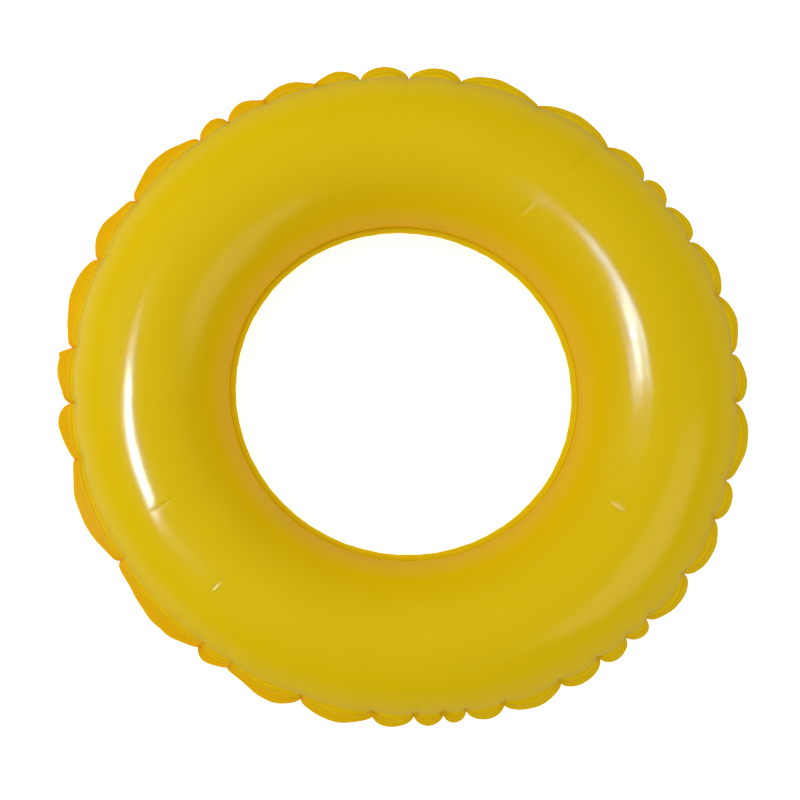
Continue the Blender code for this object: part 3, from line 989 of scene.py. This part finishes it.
def in_view(right, up, height):
    """A place given to the right and up in the view, and above the floor."""
    roll = radians(VIEW_ROLL_DEG)
    return Vector((right * cos(roll) - up * sin(roll), right * sin(roll) + up * cos(roll), height))


def aimed(place, target, up):
    """A matrix at a place whose -Z looks at a target, with its Y as near as can be to up."""
    back = (place - target).normalized()
    side = up.cross(back).normalized()
    return Matrix.Translation(place) @ Matrix((side, back.cross(side), back)).transposed().to_4x4()


def add_camera():
    """The camera looks down on the ring from nearly straight above."""
    across, up = radians(CAMERA_ACROSS_DEG), radians(CAMERA_UP_DEG)
    aim = in_view(*CAMERA_AIM, MID_HEIGHT)
    place = aim + CAMERA_DISTANCE * in_view(sin(across), sin(up), cos(across) * cos(up))
    data = bpy.data.cameras.new("camera")
    data.sensor_width = SENSOR_WIDTH_MM
    data.lens = SENSOR_WIDTH_MM * CAMERA_DISTANCE / VIEW_WIDTH
    camera = link(bpy.data.objects.new("camera", data))
    camera.matrix_world = aimed(place, aim, in_view(0.0, 1.0, 0.0))
    bpy.context.scene.camera = camera


def add_panel(name, place, target, size, power, spread=180.0, up=(0.0, 1.0), *, shows, colour=WHITE):
    """A rectangular light: place and target in the view's frame, size across and along up.

    It shows in the gloss only or in the soft shading only.
    """
    data = bpy.data.lights.new(name, "AREA")
    data.shape = "RECTANGLE"
    data.size, data.size_y = size
    data.energy = power
    data.color = colour
    data.spread = radians(spread)
    panel = link(bpy.data.objects.new(name, data))
    panel.matrix_world = aimed(in_view(*place), in_view(*target), in_view(*up, 0.0))
    panel.visible_glossy = shows == "gloss"
    panel.visible_diffuse = shows == "shading"
    return panel


def add_floor():
    """Pale paper that glows a little, so that only a trace of shadow is left."""
    half = FLOOR_SIZE / 2
    mesh = bpy.data.meshes.new("floor")
    corners = [(-half, -half), (half, -half), (half, half), (-half, half)]
    mesh.from_pydata([(x, y, -FLOOR_DROP) for x, y in corners], [], [(0, 1, 2, 3)])
    paper = Finish(
        "pale paper floor",
        Roughness=0.9,
        Specular_IOR_Level=0.0,
        Emission_Color=PLAIN_WHITE,
        Emission_Strength=FLOOR_GLOW,
    )
    paper.colour(paper.mix(paper.noise(scale=2.0), PAPER_DULL, PAPER_CLEAN))
    mesh.materials.append(paper.material)
    floor = link(bpy.data.objects.new("floor", mesh))
    floor.visible_glossy = False


def add_world(seen, level):
    """A plain backdrop: as bright as seen behind the object, and dim as a light."""
    world = bpy.data.worlds.new("studio")
    world.use_nodes = True
    tree = world.node_tree
    path = tree.nodes.new("ShaderNodeLightPath")
    strength = tree.nodes.new("ShaderNodeMapRange")
    tree.links.new(path.outputs["Is Camera Ray"], strength.inputs["Value"])
    strength.inputs["To Min"].default_value = level
    strength.inputs["To Max"].default_value = seen
    background = tree.nodes["Background"]
    background.inputs["Color"].default_value = PLAIN_WHITE
    tree.links.new(strength.outputs["Result"], background.inputs["Strength"])
    bpy.context.scene.world = world


# The finishes and the pieces

film = film_finish()
# The outer hem's weld colour is a painted highlight and its side colour a painted glow; the inner hem's face
# colour is a painted highlight.
outer_weld = hem_finish("fused vinyl hem", HEM_YELLOW, HEM_PAINTED_HIGHLIGHT, HEM_PAINTED_GLOW)
inner_weld = hem_finish("fused vinyl inner hem", HEM_PAINTED_HIGHLIGHT, FILM_PALE, FILM_YELLOW)
beads = bead_finish()
valve = valve_finish()

front = baked(add_film("front_film_skin", 1, FRONT_ROWS), "front_film_skin")
finished(front, film, "ring", "film", "front_film")
rear = cut_valve_hole(baked(add_film("rear_film_skin", -1, REAR_ROWS), "rear_film_skin"))
finished(rear, film, "ring", "film", "rear_film")
finished(add_outer_hem(), outer_weld, "ring", "hem", "outer_hem")
finished(add_inner_hem(), inner_weld, "ring", "hem", "inner_hem")

bead_rows = bead_tree(beads)
for name, rise in (("outer_weld_front", BEAD_RISE), ("outer_weld_rear", -BEAD_RISE)):
    finished(add_beads(name, bead_rows, bead_line(BEAD_LINE, rise)), beads, "ring", "hem")

finished(add_flange(), valve, "ring", "valve", "valve_flange")
dot_sizes = {"Spacing": DOT_SPACING, "Length": DOT_WIDTH, "Width": DOT_WIDTH, "Height": DOT_HEIGHT}
dots = add_beads("valve_flange_dots", bead_rows, on_film(DOT_RADIUS, DOT_LIFT), **dot_sizes)
finished(dots, valve, "ring", "valve")
bent(add_skirt(), valve, "valve", "valve_skirt", "ring", "stem", *SKIRT_BEND)
finished(add_stem(), valve, "stem", "valve", "valve_stem")
finished(turned("valve_plug_cap", PLUG_SECTION, False), valve, "plug", "valve", "valve_plug")
bent(add_strap(), valve, "valve", "plug_strap", "stem", "plug", *STRAP_BEND)
finished(turned("check_flap_disc", FLAP_SECTION, False), valve, "flap", "valve", "check_flap")

# The studio: two lights give the soft shading, and the rest show only in the gloss

add_floor()
add_world(BACKDROP_SEEN, BACKDROP_LIGHT)
add_camera()
add_panel("overhead fill", (0.0, 0.0, 3.2), (0.0, 0.0, 0.0), size=(9.0, 9.0), power=192.0, shows="shading")
add_panel("left fill", (-1.9, 0.5, 1.3), (-0.1, 0.0, 0.1), size=(1.2, 1.2), power=10.0, shows="shading")
for name, place, target, size, power, spread, up in (
    ("left strip", (-0.785, -0.12, 1.2), (-0.23, -0.05, 0.1), (0.055, 0.62), 1.8, 34.0, (0.36, 0.93)),
    ("near strip", (-0.40, -0.05, 1.2), (0.195, 0.02, 0.1), (0.018, 0.34), 0.15, 14.0, (1.0, -0.25)),
    ("far strip", (-0.16, -0.03, 1.2), (0.185, 0.08, 0.1), (0.016, 0.14), 0.050, 16.0, (0.86, 0.51)),
):
    add_panel(name, place, target, size, power, spread, up, shows="gloss", colour=COOL_WHITE)
add_panel(
    "right panel", (1.2, -0.66, 1.15), (0.2, -0.12, 0.1), size=(1.1, 1.3), power=4.6, spread=110.0, shows="gloss"
)
card = add_panel(
    "low left card", (-0.78, 0.0, 0.002), (-0.78, 0.0, 1.0), size=(0.84, 1.3), power=1.0, shows="gloss"
)
card.visible_camera = False

bpy.context.scene.view_settings.view_transform = "Standard"
